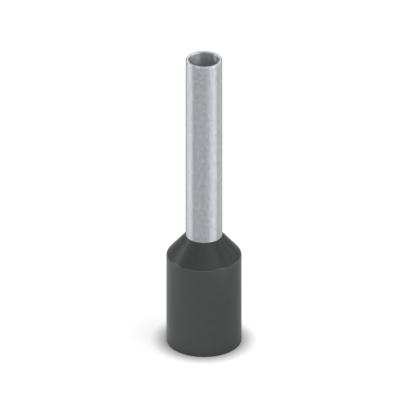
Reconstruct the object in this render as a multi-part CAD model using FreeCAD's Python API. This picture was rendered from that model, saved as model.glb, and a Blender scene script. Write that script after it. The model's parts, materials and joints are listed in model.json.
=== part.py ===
import FreeCAD, Part
import math
import os

# Insulated wire ferrule: a thin tin-plated copper sleeve, open at both ends, held in a
# moulded plastic collar. The stripped end of a stranded wire goes in through the collar,
# the sleeve's flared end gathers the strands, and the wire's insulation stops in the collar.
# The ferrule stands on the collar's open mouth. +Z runs up the sleeve, and the origin is
# the centre of the collar's base. All sizes are in millimetres.

# Sleeve
sleeve_bore = 1.49
sleeve_wall = 0.18
sleeve_showing = 10.0
tip_radius = 0.08
cut_edge_radius = 0.03
flare_bend_radius = 0.20
flare_gap = 0.08

# Collar. The lip is the thin ring that its shoulder leaves around the sleeve at the top.
collar_diameter = 3.78
collar_wall = 0.30
collar_length = 6.0
shoulder_height = 1.11
shoulder_radius = 0.20
lip_wall = 0.02
lip_radius = 0.02
cavity_radius = 0.12
mouth_radius = 0.10
base_radius = 0.06

# A rounding takes up to this share of the wall that it is on.
ROUNDING_SHARE = 0.45

# Radii and heights that follow from the sizes above
sleeve_inside = sleeve_bore / 2
sleeve_outside = sleeve_inside + sleeve_wall
sleeve_top = collar_length + sleeve_showing
collar_outside = collar_diameter / 2
collar_inside = collar_outside - collar_wall
lip_outside = sleeve_outside + lip_wall
flare_outside = collar_inside - flare_gap
shoulder_fall = shoulder_height / (collar_outside - lip_outside)
shoulder_slope = math.atan(shoulder_fall)


def under_shoulder(radius, depth):
    """The height of the line that runs parallel to the shoulder, depth below it square to its slope."""
    surface = collar_length - shoulder_fall * (radius - lip_outside)
    return surface - depth / math.cos(shoulder_slope)


def within_wall(rounding, wall):
    """A rounding, limited by the wall that carries it."""
    return min(rounding, ROUNDING_SHARE * wall)


def section_point(radius, height):
    """A point of the half section, which lies in the XZ plane."""
    return FreeCAD.Vector(radius, 0, height)


def rounded_corner(before, corner, after, rounding):
    """The two ends and the middle of the arc that rounds a corner of the section."""
    back = (before - corner).normalize()
    on = (after - corner).normalize()
    half_angle = back.getAngle(on) / 2
    start = corner + back * (rounding / math.tan(half_angle))
    end = corner + on * (rounding / math.tan(half_angle))
    centre = corner + (back + on).normalize() * (rounding / math.sin(half_angle))
    middle = centre + (corner - centre).normalize() * rounding
    return start, middle, end


def turned_solid(corners):
    """Turns a closed section about Z. A corner has a radius, a height and a rounding, which may be 0."""
    points = [section_point(radius, height) for radius, height, _ in corners]
    stops = []
    for i, (_, _, rounding) in enumerate(corners):
        following = points[(i + 1) % len(points)]
        if rounding:
            stops.append(rounded_corner(points[i - 1], points[i], following, rounding))
        else:
            stops.append((points[i],))
    edges = []
    for i, stop in enumerate(stops):
        if len(stop) == 3:
            edges.append(Part.Arc(*stop).toShape())
        next_stop = stops[(i + 1) % len(stops)]
        edges.append(Part.LineSegment(stop[-1], next_stop[0]).toShape())
    section = Part.Face(Part.Wire(edges))
    return section.revolve(FreeCAD.Vector(0, 0, 0), FreeCAD.Vector(0, 0, 1), 360)


def metal_sleeve():
    """The drawn tube: its tip is rounded, and its lower end flares under the collar's shoulder."""
    tip = within_wall(tip_radius, sleeve_wall)
    flare_edge = within_wall(cut_edge_radius, sleeve_wall)
    outer_bend = under_shoulder(sleeve_outside, collar_wall)
    inner_bend = under_shoulder(sleeve_inside, collar_wall + sleeve_wall)
    flare_end = under_shoulder(flare_outside, collar_wall)
    end_inside = flare_outside - sleeve_wall * math.sin(shoulder_slope)
    end_below = flare_end - sleeve_wall * math.cos(shoulder_slope)
    return turned_solid([
        (sleeve_outside, sleeve_top, tip),
        (sleeve_outside, outer_bend, flare_bend_radius),
        (flare_outside, flare_end, flare_edge),
        (end_inside, end_below, flare_edge),
        (sleeve_inside, inner_bend, flare_bend_radius + sleeve_wall),
        (sleeve_inside, sleeve_top, tip),
    ])


def plastic_collar():
    """The moulded collar: its neck grips the sleeve, and the flare sits against its inner cone."""
    seat_bend = under_shoulder(sleeve_outside, collar_wall)
    cavity_top = under_shoulder(collar_inside, collar_wall)
    return turned_solid([
        (collar_outside, 0, within_wall(base_radius, collar_wall)),
        (collar_outside, collar_length - shoulder_height, shoulder_radius),
        (lip_outside, collar_length, min(lip_radius, lip_wall)),
        (sleeve_outside, collar_length, 0),
        (sleeve_outside, seat_bend, flare_bend_radius),
        (collar_inside, cavity_top, cavity_radius),
        (collar_inside, 0, within_wall(mouth_radius, collar_wall)),
    ])


os.makedirs("parts", exist_ok=True)
metal_sleeve().exportStep("parts/metal_sleeve.step")
plastic_collar().exportStep("parts/plastic_collar.step")
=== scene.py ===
import json
import math

import bpy
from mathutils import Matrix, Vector


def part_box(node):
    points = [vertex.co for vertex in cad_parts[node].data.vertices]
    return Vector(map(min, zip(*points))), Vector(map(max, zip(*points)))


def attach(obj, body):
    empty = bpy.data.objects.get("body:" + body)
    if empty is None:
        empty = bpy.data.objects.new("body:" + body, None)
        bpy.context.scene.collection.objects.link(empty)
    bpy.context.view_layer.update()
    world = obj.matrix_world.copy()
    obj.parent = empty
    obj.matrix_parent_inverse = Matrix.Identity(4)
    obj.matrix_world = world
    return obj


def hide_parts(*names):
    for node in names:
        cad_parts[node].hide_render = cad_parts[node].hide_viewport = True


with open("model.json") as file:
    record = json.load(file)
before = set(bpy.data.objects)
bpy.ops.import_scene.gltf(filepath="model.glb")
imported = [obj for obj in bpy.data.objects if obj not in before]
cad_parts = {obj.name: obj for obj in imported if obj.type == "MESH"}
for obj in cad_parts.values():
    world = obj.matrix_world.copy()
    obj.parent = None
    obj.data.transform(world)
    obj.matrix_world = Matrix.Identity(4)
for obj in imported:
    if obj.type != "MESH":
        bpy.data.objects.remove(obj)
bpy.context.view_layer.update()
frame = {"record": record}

# Sizes, in metres. The main ones come from the frame, and the finer ones are the maker's own.
MM = 0.001


def mount_size(name, size):
    """A stated size of one of the record's mounts, in metres."""
    mounts = {mount["name"]: mount for mount in frame["record"]["mounts"]}
    return mounts[name]["dims"][size] * MM


_, SLEEVE_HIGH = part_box("metal_sleeve")
_, COLLAR_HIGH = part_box("plastic_collar")
SLEEVE_OUTSIDE = mount_size("sleeve_outside", "r_mm")
SLEEVE_INSIDE = mount_size("conductor_bore", "r_mm")
SLEEVE_WALL = SLEEVE_OUTSIDE - SLEEVE_INSIDE
SLEEVE_TOP = SLEEVE_HIGH.z
TIP_RADIUS = 0.08 * MM
CUT_EDGE_RADIUS = 0.03 * MM
COLLAR_OUTSIDE = COLLAR_HIGH.x
COLLAR_INSIDE = mount_size("insulation_bore", "r_mm")
COLLAR_WALL = COLLAR_OUTSIDE - COLLAR_INSIDE
COLLAR_TOP = COLLAR_HIGH.z
SHOULDER_HEIGHT = 1.11 * MM
SHOULDER_RADIUS = 0.20 * MM
LIP_WALL = 0.02 * MM
LIP_RADIUS = 0.02 * MM
CAVITY_RADIUS = 0.12 * MM
MOUTH_RADIUS = 0.10 * MM
BASE_RADIUS = 0.06 * MM
FLARE_BEND_RADIUS = 0.20 * MM
FLARE_GAP = 0.08 * MM
FLARE_OUTSIDE = COLLAR_INSIDE - FLARE_GAP
LIP_OUTSIDE = SLEEVE_OUTSIDE + LIP_WALL
SHOULDER_FALL = SHOULDER_HEIGHT / (COLLAR_OUTSIDE - LIP_OUTSIDE)
SHOULDER_SLOPE = math.atan(SHOULDER_FALL)

# How finely the turned surfaces are divided
STEPS_AROUND = 192
ARC_STEP = math.radians(7.5)
FEWEST_ARC_STEPS = 2
RUN_STEP = 0.25 * MM
EDGE_STEP = 0.01 * MM
SHORTEST_RUN = 4 * EDGE_STEP

# The span that the noise of the mottle stays in, near enough
NOISE_LOW = 0.3
NOISE_HIGH = 0.7

# The table, a flat disc just under the ferrule
TABLE_RADIUS = 1.0
TABLE_STEPS = 64
TABLE_DROP = 0.002 * MM

# The photograph's frame: a parallel view from above the front. Places in it are in its own pixels.
FRAME_PIXELS = 408
PIXELS_PER_MM = 19.906
CAMERA_ELEVATION = math.radians(28.4)
AXIS_PIXEL_X = 203.97
BASE_PIXEL_Y = 339.25
CAMERA_DISTANCE = 0.2


def under_shoulder(radius, painted_shade):
    """The height of the line parallel to the shoulder, depth below it square to its slope."""
    surface = COLLAR_TOP - SHOULDER_FALL * (radius - LIP_OUTSIDE)
    return surface - painted_shade / math.cos(SHOULDER_SLOPE)


def corner_arc(before, corner, after, rounding):
    """Points along the arc that rounds a corner of a section, or the corner itself."""
    if not rounding:
        return [corner]
    back = (before[0] - corner[0], before[1] - corner[1])
    on = (after[0] - corner[0], after[1] - corner[1])
    back_angle = math.atan2(back[1], back[0])
    on_angle = math.atan2(on[1], on[0])
    opening = (on_angle - back_angle + math.pi) % math.tau - math.pi
    middle = back_angle + opening / 2
    reach = rounding / math.sin(abs(opening) / 2)
    centre = (corner[0] + reach * math.cos(middle), corner[1] + reach * math.sin(middle))
    sweep = math.pi - abs(opening)
    first = middle + math.pi + math.copysign(sweep / 2, opening)
    steps = max(FEWEST_ARC_STEPS, round(sweep / ARC_STEP))
    turns = [first - math.copysign(sweep, opening) * i / steps for i in range(steps + 1)]
    return [(centre[0] + rounding * math.cos(a), centre[1] + rounding * math.sin(a)) for a in turns]


def run_points(start, end):
    """Points along a straight run: one close to each end, and even steps between them."""
    length = math.dist(start, end)
    if length < SHORTEST_RUN:
        return []
    steps = math.ceil(length / RUN_STEP)
    places = [EDGE_STEP / length]
    places += [i / steps for i in range(1, steps)]
    places += [1 - EDGE_STEP / length]
    across = end[0] - start[0]
    along = end[1] - start[1]
    return [(start[0] + across * t, start[1] + along * t) for t in places]


def section_points(corners):
    """A closed section from its corners, down the outside and up the inside.

    Each corner is its radius, its height and its rounding.
    """
    places = [(radius, height) for radius, height, _ in corners]
    arcs = []
    for i, (_, _, rounding) in enumerate(corners):
        arcs.append(corner_arc(places[i - 1], places[i], places[(i + 1) % len(places)], rounding))
    points = []
    for i, arc in enumerate(arcs):
        points += arc
        points += run_points(arc[-1], arcs[(i + 1) % len(arcs)][0])
    return points


def turning_tree():
    """Geometry nodes that turn a closed section about the upright axis."""
    tree = bpy.data.node_groups.new("turned_ring", "GeometryNodeTree")
    face = tree.interface
    face.new_socket("Section", in_out="INPUT", socket_type="NodeSocketGeometry")
    face.new_socket("Ring Radius", in_out="INPUT", socket_type="NodeSocketFloat")
    face.new_socket("Steps Around", in_out="INPUT", socket_type="NodeSocketInt")
    face.new_socket("Surface", in_out="INPUT", socket_type="NodeSocketMaterial")
    face.new_socket("Turned", in_out="OUTPUT", socket_type="NodeSocketGeometry")
    nodes, links = tree.nodes, tree.links
    given = nodes.new("NodeGroupInput")
    result = nodes.new("NodeGroupOutput")
    outline = nodes.new("GeometryNodeMeshToCurve")
    circle = nodes.new("GeometryNodeCurvePrimitiveCircle")
    upright = nodes.new("GeometryNodeSetCurveNormal")
    upright.mode = "Z_UP"
    turned = nodes.new("GeometryNodeCurveToMesh")
    smooth = nodes.new("GeometryNodeSetShadeSmooth")
    whole = nodes.new("GeometryNodeRealizeInstances")
    surface = nodes.new("GeometryNodeSetMaterial")
    links.new(given.outputs["Section"], outline.inputs["Mesh"])
    links.new(given.outputs["Steps Around"], circle.inputs["Resolution"])
    links.new(given.outputs["Ring Radius"], circle.inputs["Radius"])
    links.new(circle.outputs["Curve"], upright.inputs["Curve"])
    links.new(upright.outputs["Curve"], turned.inputs["Curve"])
    links.new(outline.outputs["Curve"], turned.inputs["Profile Curve"])
    links.new(turned.outputs["Mesh"], smooth.inputs["Geometry"])
    links.new(smooth.outputs["Geometry"], whole.inputs["Geometry"])
    links.new(whole.outputs["Geometry"], surface.inputs["Geometry"])
    links.new(given.outputs["Surface"], surface.inputs["Material"])
    links.new(surface.outputs["Geometry"], result.inputs["Turned"])
    return tree


def set_input(modifier, name, value):
    """Sets a geometry nodes input of this name, through its identifier."""
    for item in modifier.node_group.interface.items_tree:
        if item.name == name and item.in_out == "INPUT":
            modifier[item.identifier] = value


def turned_piece(name, corners, ring_radius, surface, tree):
    """A plain mesh object of a section turned about the upright axis."""
    points = section_points(corners)
    outline = bpy.data.meshes.new(name + "_section")
    places = [(radius - ring_radius, -height, 0) for radius, height in points]
    edges = [(i, (i + 1) % len(points)) for i in range(len(points))]
    outline.from_pydata(places, edges, [])
    drawn = bpy.data.objects.new(name + "_section", outline)
    bpy.context.scene.collection.objects.link(drawn)
    turning = drawn.modifiers.new("turning", "NODES")
    turning.node_group = tree
    set_input(turning, "Ring Radius", ring_radius)
    set_input(turning, "Steps Around", STEPS_AROUND)
    set_input(turning, "Surface", surface)
    bpy.context.view_layer.update()
    seen = drawn.evaluated_get(bpy.context.evaluated_depsgraph_get())
    mesh = bpy.data.meshes.new_from_object(seen)
    mesh.name = name
    bpy.data.objects.remove(drawn)
    piece = bpy.data.objects.new(name, mesh)
    bpy.context.scene.collection.objects.link(piece)
    return piece


def sleeve_corners():
    """The tube's section: a rounded tip, and a lower end flared under the collar's shoulder."""
    outer_bend = under_shoulder(SLEEVE_OUTSIDE, COLLAR_WALL)
    inner_bend = under_shoulder(SLEEVE_INSIDE, COLLAR_WALL + SLEEVE_WALL)
    flare_end = under_shoulder(FLARE_OUTSIDE, COLLAR_WALL)
    end_inside = FLARE_OUTSIDE - SLEEVE_WALL * math.sin(SHOULDER_SLOPE)
    end_below = flare_end - SLEEVE_WALL * math.cos(SHOULDER_SLOPE)
    return [
        (SLEEVE_OUTSIDE, SLEEVE_TOP, TIP_RADIUS),
        (SLEEVE_OUTSIDE, outer_bend, FLARE_BEND_RADIUS),
        (FLARE_OUTSIDE, flare_end, CUT_EDGE_RADIUS),
        (end_inside, end_below, CUT_EDGE_RADIUS),
        (SLEEVE_INSIDE, inner_bend, FLARE_BEND_RADIUS + SLEEVE_WALL),
        (SLEEVE_INSIDE, SLEEVE_TOP, TIP_RADIUS),
    ]


def collar_corners():
    """The collar's section: a plain wall, a sloped shoulder, and the neck that grips the sleeve."""
    seat_bend = under_shoulder(SLEEVE_OUTSIDE, COLLAR_WALL)
    cavity_top = under_shoulder(COLLAR_INSIDE, COLLAR_WALL)
    return [
        (LIP_OUTSIDE, COLLAR_TOP, LIP_RADIUS),
        (COLLAR_OUTSIDE, COLLAR_TOP - SHOULDER_HEIGHT, SHOULDER_RADIUS),
        (COLLAR_OUTSIDE, 0, BASE_RADIUS),
        (COLLAR_INSIDE, 0, MOUTH_RADIUS),
        (COLLAR_INSIDE, cavity_top, CAVITY_RADIUS),
        (SLEEVE_OUTSIDE, seat_bend, FLARE_BEND_RADIUS),
        (SLEEVE_OUTSIDE, COLLAR_TOP, 0),
    ]


def live(sockets, name):
    """The socket of that name which a node with several data types shows now."""
    return next(socket for socket in sockets if socket.name == name and socket.enabled)


def joined(tree, operation, *values):
    """A maths node on these values, each a number or a socket."""
    node = tree.nodes.new("ShaderNodeMath")
    node.operation = operation
    for place, value in enumerate(values):
        if isinstance(value, bpy.types.NodeSocket):
            tree.links.new(value, node.inputs[place])
        else:
            node.inputs[place].default_value = value
    return node.outputs["Value"]


def soft_step(tree, value, low, high):
    """0 below low and 1 above high, with a smooth rise between them."""
    rise = tree.nodes.new("ShaderNodeMapRange")
    rise.interpolation_type = "SMOOTHSTEP"
    rise.inputs["From Min"].default_value = low
    rise.inputs["From Max"].default_value = high
    tree.links.new(value, rise.inputs["Value"])
    return rise.outputs["Result"]


def soft_band(tree, value, low, high, soft_low, soft_high):
    """1 between low and high and 0 beyond, each edge softened this far to both of its sides."""
    rise = soft_step(tree, value, low - soft_low, low + soft_low)
    fall = soft_step(tree, value, high - soft_high, high + soft_high)
    return joined(tree, "MULTIPLY", rise, joined(tree, "SUBTRACT", 1.0, fall))


def from_axis(tree):
    """The distance of a point of a piece from its upright axis."""
    place = tree.nodes.new("ShaderNodeTexCoord")
    flat = tree.nodes.new("ShaderNodeMapping")
    flat.inputs["Scale"].default_value = (1, 1, 0)
    distance = tree.nodes.new("ShaderNodeVectorMath")
    distance.operation = "LENGTH"
    tree.links.new(place.outputs["Object"], flat.inputs["Vector"])
    tree.links.new(flat.outputs["Vector"], distance.inputs[0])
    return distance.outputs["Value"]


def mottle_group():
    """A shader group: soft blotches with a share of finer grain in them, as one mask."""
    group = bpy.data.node_groups.new("surface_mottle", "ShaderNodeTree")
    face = group.interface
    face.new_socket("Position", in_out="INPUT", socket_type="NodeSocketVector")
    face.new_socket("Blotches per Metre", in_out="INPUT", socket_type="NodeSocketFloat")
    face.new_socket("Grains per Metre", in_out="INPUT", socket_type="NodeSocketFloat")
    face.new_socket("Grain Share", in_out="INPUT", socket_type="NodeSocketFloat")
    face.new_socket("Mask", in_out="OUTPUT", socket_type="NodeSocketFloat")
    nodes, links = group.nodes, group.links
    given = nodes.new("NodeGroupInput")
    result = nodes.new("NodeGroupOutput")
    blotches = nodes.new("ShaderNodeTexNoise")
    blotches.inputs["Detail"].default_value = 1.0
    grains = nodes.new("ShaderNodeTexNoise")
    grains.inputs["Detail"].default_value = 2.0
    blend = nodes.new("ShaderNodeMix")
    blend.data_type = "FLOAT"
    links.new(given.outputs["Position"], blotches.inputs["Vector"])
    links.new(given.outputs["Position"], grains.inputs["Vector"])
    links.new(given.outputs["Blotches per Metre"], blotches.inputs["Scale"])
    links.new(given.outputs["Grains per Metre"], grains.inputs["Scale"])
    links.new(given.outputs["Grain Share"], live(blend.inputs, "Factor"))
    links.new(blotches.outputs["Fac"], live(blend.inputs, "A"))
    links.new(grains.outputs["Fac"], live(blend.inputs, "B"))
    links.new(live(blend.outputs, "Result"), result.inputs["Mask"])
    return group


def placed_mottle(tree, group, stretch, blotches, grains, share):
    """The mottle group on a piece's own coordinates, drawn out along the axis by stretch."""
    place = tree.nodes.new("ShaderNodeTexCoord")
    drawn = tree.nodes.new("ShaderNodeMapping")
    drawn.inputs["Scale"].default_value = (1, 1, 1 / stretch)
    mottle = tree.nodes.new("ShaderNodeGroup")
    mottle.node_tree = group
    mottle.inputs["Blotches per Metre"].default_value = blotches
    mottle.inputs["Grains per Metre"].default_value = grains
    mottle.inputs["Grain Share"].default_value = share
    tree.links.new(place.outputs["Object"], drawn.inputs["Vector"])
    tree.links.new(drawn.outputs["Vector"], mottle.inputs["Position"])
    return mottle.outputs["Mask"]


def spread(tree, mask, low, high):
    """The mottle's mask mapped to values between low and high."""
    span = tree.nodes.new("ShaderNodeMapRange")
    span.inputs["From Min"].default_value = NOISE_LOW
    span.inputs["From Max"].default_value = NOISE_HIGH
    span.inputs["To Min"].default_value = low
    span.inputs["To Max"].default_value = high
    tree.links.new(mask, span.inputs["Value"])
    return span.outputs["Result"]


def colour_between(tree, factor, low, high):
    """A colour between two, set by a factor."""
    blend = tree.nodes.new("ShaderNodeMix")
    blend.data_type = "RGBA"
    live(blend.inputs, "A").default_value = (*low, 1)
    live(blend.inputs, "B").default_value = (*high, 1)
    tree.links.new(factor, live(blend.inputs, "Factor"))
    return live(blend.outputs, "Result")


def value_between(tree, factor, low, high):
    """A value between two, set by a factor."""
    blend = tree.nodes.new("ShaderNodeMix")
    blend.data_type = "FLOAT"
    live(blend.inputs, "A").default_value = low
    live(blend.inputs, "B").default_value = high
    tree.links.new(factor, live(blend.inputs, "Factor"))
    return live(blend.outputs, "Result")


def add_relief(tree, shader, mask, height):
    """A fine relief from a mask, this high in metres."""
    bump = tree.nodes.new("ShaderNodeBump")
    bump.inputs["Strength"].default_value = 1.0
    bump.inputs["Distance"].default_value = height
    tree.links.new(mask, bump.inputs["Height"])
    tree.links.new(bump.outputs["Normal"], shader.inputs["Normal"])


def new_material(name):
    """A new node material, with its tree and its shader."""
    material = bpy.data.materials.new(name)
    material.use_nodes = True
    tree = material.node_tree
    shader = tree.nodes["Principled BSDF"]
    return material, tree, shader


def tinned_copper(group):
    """Tin plate on copper: satin silver grey with the soft mottle of plating, duller inside."""
    darker = (0.569, 0.596, 0.631)
    lighter = (0.661, 0.683, 0.715)
    inside_roughness = 0.50
    outside_roughness = 0.27
    change = 0.05 * SLEEVE_WALL
    mottle_height = 0.00015 * MM
    material, tree, shader = new_material("tinned_copper")
    mask = placed_mottle(tree, group, stretch=1.3, blotches=6400, grains=18000, share=0.1)
    tint = colour_between(tree, spread(tree, mask, 0.0, 1.0), darker, lighter)
    tree.links.new(tint, shader.inputs["Base Color"])
    # The bore's dull finish ends at the inner edge of the rim
    outside = soft_step(tree, from_axis(tree), SLEEVE_INSIDE, SLEEVE_INSIDE + change)
    roughness = value_between(tree, outside, inside_roughness, outside_roughness)
    tree.links.new(roughness, shader.inputs["Roughness"])
    shader.inputs["Metallic"].default_value = 1.0
    # The gloss is blurred along the tube, and its bands stay crisp from side to side
    shader.inputs["Anisotropic"].default_value = 1.0
    shader.inputs["Anisotropic Rotation"].default_value = 0.25
    around = tree.nodes.new("ShaderNodeTangent")
    around.direction_type = "RADIAL"
    around.axis = "Z"
    tree.links.new(around.outputs["Tangent"], shader.inputs["Tangent"])
    add_relief(tree, shader, mask, mottle_height)
    return material


def collar_plastic(group):
    """Moulded polypropylene: dark grey, satin, with the fine texture of its mould."""
    darker = (0.052, 0.060, 0.058)
    lighter = (0.056, 0.064, 0.062)
    duller = 0.27
    glossier = 0.21
    texture_height = 0.0012 * MM
    material, tree, shader = new_material("collar_plastic")
    mask = placed_mottle(tree, group, stretch=1.0, blotches=2000, grains=20000, share=0.3)
    tint = colour_between(tree, spread(tree, mask, 0.0, 1.0), darker, lighter)
    tree.links.new(tint, shader.inputs["Base Color"])
    tree.links.new(spread(tree, mask, duller, glossier), shader.inputs["Roughness"])
    shader.inputs["IOR"].default_value = 1.49
    add_relief(tree, shader, mask, texture_height)
    return material


def grey(tree, value):
    """A grey of this value."""
    colour = tree.nodes.new("ShaderNodeCombineColor")
    for channel in ("Red", "Green", "Blue"):
        tree.links.new(value, colour.inputs[channel])
    return colour.outputs["Color"]


def lit(tree, level, mask, strength):
    """A level with a light of this strength added where its mask is."""
    return joined(tree, "ADD", level, joined(tree, "MULTIPLY", mask, strength))


def chosen(tree, factor, first, second):
    """The first shader where the factor is 0, and the second where it is 1."""
    choice = tree.nodes.new("ShaderNodeMixShader")
    tree.links.new(factor, choice.inputs["Fac"])
    tree.links.new(first, choice.inputs[1])
    tree.links.new(second, choice.inputs[2])
    return choice.outputs["Shader"]


def table_disc():
    """The flat disc that the stage floor is made of."""
    turns = [math.tau * i / TABLE_STEPS for i in range(TABLE_STEPS)]
    corners = [
        (TABLE_RADIUS * math.cos(turn), TABLE_RADIUS * math.sin(turn), -TABLE_DROP)
        for turn in turns
    ]
    mesh = bpy.data.meshes.new("floor")
    mesh.from_pydata(corners, [], [tuple(range(TABLE_STEPS))])
    floor = bpy.data.objects.new("floor", mesh)
    bpy.context.scene.collection.objects.link(floor)
    return floor


def shown_table(tree, shade, away, path):
    """The table as all but the gloss sees it: white paper under the lamp, with its own glow."""
    shade_depth = 1.55
    paper_grey = 0.5
    plain_glow = 0.66
    far_glow = 0.15
    # Painted contact shade: the occlusion darkens the paper's colour and its glow near the ferrule
    painted_shade = joined(tree, "POWER", shade, shade_depth)
    paper = tree.nodes.new("ShaderNodeBsdfDiffuse")
    glow = tree.nodes.new("ShaderNodeEmission")
    tree.links.new(grey(tree, joined(tree, "MULTIPLY", painted_shade, paper_grey)), paper.inputs["Color"])
    tree.links.new(grey(tree, painted_shade), glow.inputs["Color"])
    # Far from the lamp, the camera alone sees a little more glow, so that the table stays white
    beyond = soft_step(tree, away, 20 * MM, 80 * MM)
    seen = joined(tree, "MULTIPLY", beyond, path.outputs["Is Camera Ray"])
    tree.links.new(lit(tree, plain_glow, seen, far_glow), glow.inputs["Strength"])
    shown = tree.nodes.new("ShaderNodeAddShader")
    tree.links.new(paper.outputs["BSDF"], shown.inputs[0])
    tree.links.new(glow.outputs["Emission"], shown.inputs[1])
    return shown.outputs["Shader"]


def mirrored_table(tree, shade, away):
    """The table as the gloss mirrors it: a painted sheen that glows near by, and the room past it.
    """
    shade_depth = 0.9
    front_painted_sheen = 0.466
    side_change = 0.106
    near = 11.0 * MM
    past = 13.0 * MM
    # The painted contact shade also darkens the painted sheen near the ferrule
    painted_shade = joined(tree, "POWER", shade, shade_depth)
    place = tree.nodes.new("ShaderNodeTexCoord")
    parts = tree.nodes.new("ShaderNodeSeparateXYZ")
    tree.links.new(place.outputs["Object"], parts.inputs["Vector"])
    # The painted sheen is a little dimmer on the right and brighter on the left
    aside = joined(tree, "DIVIDE", parts.outputs["X"], away)
    level = joined(tree, "SUBTRACT", front_painted_sheen, joined(tree, "MULTIPLY", aside, side_change))
    # Painted reflection: the table glows for the gloss alone, in place of lit paper
    painted_sheen = tree.nodes.new("ShaderNodeEmission")
    tree.links.new(grey(tree, joined(tree, "MULTIPLY", painted_shade, level)), painted_sheen.inputs["Color"])
    clear = tree.nodes.new("ShaderNodeBsdfTransparent")
    far = soft_step(tree, away, near, past)
    return chosen(tree, far, painted_sheen.outputs["Emission"], clear.outputs["BSDF"])


def white_floor():
    """The pale table, with a painted contact shade around the ferrule's base."""
    floor = table_disc()
    material = bpy.data.materials.new("white_floor")
    material.use_nodes = True
    tree = material.node_tree
    tree.nodes.clear()
    # An occlusion node gives the painted contact shade that darkens the table near the ferrule
    contact = tree.nodes.new("ShaderNodeAmbientOcclusion")
    contact.samples = 16
    contact.inputs["Distance"].default_value = 0.9 * MM
    shade = contact.outputs["AO"]
    away = from_axis(tree)
    path = tree.nodes.new("ShaderNodeLightPath")
    shown = shown_table(tree, shade, away, path)
    mirrored = mirrored_table(tree, shade, away)
    out = tree.nodes.new("ShaderNodeOutputMaterial")
    surface = chosen(tree, path.outputs["Is Glossy Ray"], shown, mirrored)
    tree.links.new(surface, out.inputs["Surface"])
    floor.data.materials.append(material)
    return floor


def lit_strip(tree, angles, sides, softness, heights):
    """The mask of an upright soft light.

    Its two sides, how softly each of them ends, and its two heights are in degrees.
    """
    azimuth, elevation = angles
    left, right = sides
    low, high = [math.radians(height) for height in heights]
    soft_left, soft_right = [math.radians(soft) / 2 for soft in softness]
    soft_end = math.radians(6)
    middle = math.radians((left + right) / 2)
    half = math.radians((right - left) / 2)
    turned = joined(tree, "WRAP", joined(tree, "SUBTRACT", azimuth, middle), math.pi, -math.pi)
    across = soft_band(tree, turned, -half, half, soft_left, soft_right)
    upright = soft_band(tree, elevation, low, high, soft_end, soft_end)
    return joined(tree, "MULTIPLY", across, upright)


def mirrored_room(tree, angles):
    """How bright the room is that the gloss mirrors.

    It has a grey floor, dark walls, a bright ceiling and soft lights around the ferrule.
    """
    elevation = angles[1]
    walls = soft_step(tree, elevation, math.radians(-14), math.radians(8))
    ceiling = soft_step(tree, elevation, math.radians(44), math.radians(62))
    left = lit_strip(tree, angles, sides=(-134, -71), softness=(60, 50), heights=(-34, 5))
    left_mid = lit_strip(tree, angles, sides=(-105, -75), softness=(12, 12), heights=(10, 24))
    right = lit_strip(tree, angles, sides=(34, 88), softness=(60, 38), heights=(-28, -15))
    right_mid = lit_strip(tree, angles, sides=(36, 77), softness=(12, 12), heights=(14, 30))
    right_inner = lit_strip(tree, angles, sides=(82, 108), softness=(12, 48), heights=(6, 18))
    right_high = lit_strip(tree, angles, sides=(92, 123), softness=(12, 12), heights=(35, 62))
    right_edge = lit_strip(tree, angles, sides=(101, 144), softness=(24, 12), heights=(-29, 0))
    front_low = lit_strip(tree, angles, sides=(-55, 32), softness=(32, 36), heights=(-5, 25))
    front_above = lit_strip(tree, angles, sides=(27, 69), softness=(60, 20), heights=(13, 82))
    behind = lit_strip(tree, angles, sides=(120, 299), softness=(12, 60), heights=(10, 100))
    behind_mid = lit_strip(tree, angles, sides=(112, 262), softness=(12, 36), heights=(25, 39))
    level = lit(tree, 0.45, walls, -0.45)
    level = lit(tree, level, ceiling, 0.80)
    level = lit(tree, level, left, 0.76)
    level = lit(tree, level, left_mid, 3.0)
    level = lit(tree, level, right, 2.02)
    level = lit(tree, level, right_mid, 3.0)
    level = lit(tree, level, right_inner, 2.35)
    level = lit(tree, level, right_high, 3.0)
    level = lit(tree, level, right_edge, 0.50)
    level = lit(tree, level, front_low, 1.36)
    level = lit(tree, level, front_above, 0.52)
    level = lit(tree, level, behind, 0.37)
    level = lit(tree, level, behind_mid, 1.10)
    return level


def white_light(tree):
    """A white background, and its strength's socket."""
    light = tree.nodes.new("ShaderNodeBackground")
    light.inputs["Color"].default_value = (1, 1, 1, 1)
    return light.outputs["Background"], light.inputs["Strength"]


def studio():
    """The room: soft lights for the gloss, a plain fill for colours, and a white page.

    The camera alone sees the page, where it looks past the table.
    """
    plain_fill = 0.9
    overhead_change = -0.6
    world = bpy.data.worlds.new("studio")
    bpy.context.scene.world = world
    world.use_nodes = True
    world.cycles.sampling_method = "NONE"
    tree = world.node_tree
    tree.nodes.clear()
    place = tree.nodes.new("ShaderNodeTexCoord")
    parts = tree.nodes.new("ShaderNodeSeparateXYZ")
    tree.links.new(place.outputs["Generated"], parts.inputs["Vector"])
    # Azimuth 0 is where the camera stands, and it rises towards +X
    front = joined(tree, "MULTIPLY", parts.outputs["Y"], -1.0)
    azimuth = joined(tree, "ARCTAN2", parts.outputs["X"], front)
    elevation = joined(tree, "ARCSINE", parts.outputs["Z"])
    room, room_strength = white_light(tree)
    tree.links.new(mirrored_room(tree, (azimuth, elevation)), room_strength)
    fill, fill_strength = white_light(tree)
    overhead = soft_step(tree, elevation, 0.0, math.radians(80))
    tree.links.new(lit(tree, plain_fill, overhead, overhead_change), fill_strength)
    page, _ = white_light(tree)
    path = tree.nodes.new("ShaderNodeLightPath")
    lighting = chosen(tree, path.outputs["Is Glossy Ray"], fill, room)
    seen = chosen(tree, path.outputs["Is Camera Ray"], lighting, page)
    out = tree.nodes.new("ShaderNodeOutputWorld")
    tree.links.new(seen, out.inputs["Surface"])


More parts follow.
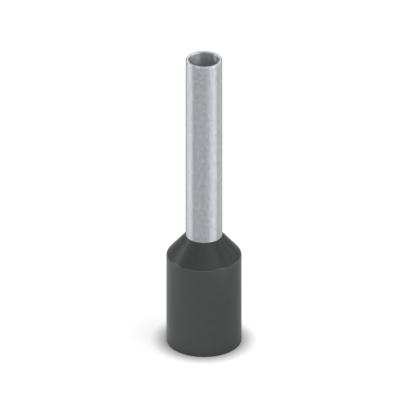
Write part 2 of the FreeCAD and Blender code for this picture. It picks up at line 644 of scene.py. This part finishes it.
def front_lamp(floor):
    """A soft lamp high to the right of the front, for the faint shade on the table's left.

    It lights the table alone.
    """
    # The light that reaches the table, as a share of a white surface's plain level
    level = 0.35
    distance = 0.2
    azimuth = math.radians(70)
    elevation = math.radians(70)
    direction = Vector((
        math.cos(elevation) * math.sin(azimuth),
        -math.cos(elevation) * math.cos(azimuth),
        math.sin(elevation),
    ))
    data = bpy.data.lights.new("front_lamp", "AREA")
    data.shape = "DISK"
    data.size = 0.12
    data.energy = level * math.pi * math.pi * distance ** 2
    lamp = bpy.data.objects.new("front_lamp", data)
    lamp.location = distance * direction
    lamp.rotation_euler = direction.to_track_quat("Z", "Y").to_euler()
    lamp.visible_glossy = False
    bpy.context.scene.collection.objects.link(lamp)
    table = bpy.data.collections.new("table")
    table.objects.link(floor)
    lamp.light_linking.receiver_collection = table


def photo_camera():
    """A parallel camera in front and above, framed as the photograph."""
    data = bpy.data.cameras.new("photo_camera")
    data.type = "ORTHO"
    data.ortho_scale = FRAME_PIXELS / PIXELS_PER_MM * MM
    data.clip_start = 0.001
    data.clip_end = 10
    camera = bpy.data.objects.new("photo_camera", data)
    bpy.context.scene.collection.objects.link(camera)
    pixel = MM / PIXELS_PER_MM
    aside = (FRAME_PIXELS / 2 - AXIS_PIXEL_X) * pixel
    up = (BASE_PIXEL_Y - FRAME_PIXELS / 2) * pixel / math.cos(CAMERA_ELEVATION)
    back = CAMERA_DISTANCE * math.cos(CAMERA_ELEVATION)
    rise = CAMERA_DISTANCE * math.sin(CAMERA_ELEVATION)
    camera.location = (aside, -back, up + rise)
    camera.rotation_euler = (math.pi / 2 - CAMERA_ELEVATION, 0, 0)
    bpy.context.scene.camera = camera


photo_camera()
studio()
front_lamp(white_floor())

mottle = mottle_group()
tree = turning_tree()

tin = tinned_copper(mottle)
sleeve = turned_piece("tin_sleeve", sleeve_corners(), SLEEVE_OUTSIDE, tin, tree)
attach(sleeve, "root")
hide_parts("metal_sleeve")

plastic = collar_plastic(mottle)
collar = turned_piece("moulded_collar", collar_corners(), COLLAR_OUTSIDE, plastic, tree)
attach(collar, "root")
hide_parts("plastic_collar")

bpy.context.scene.view_settings.view_transform = "Standard"
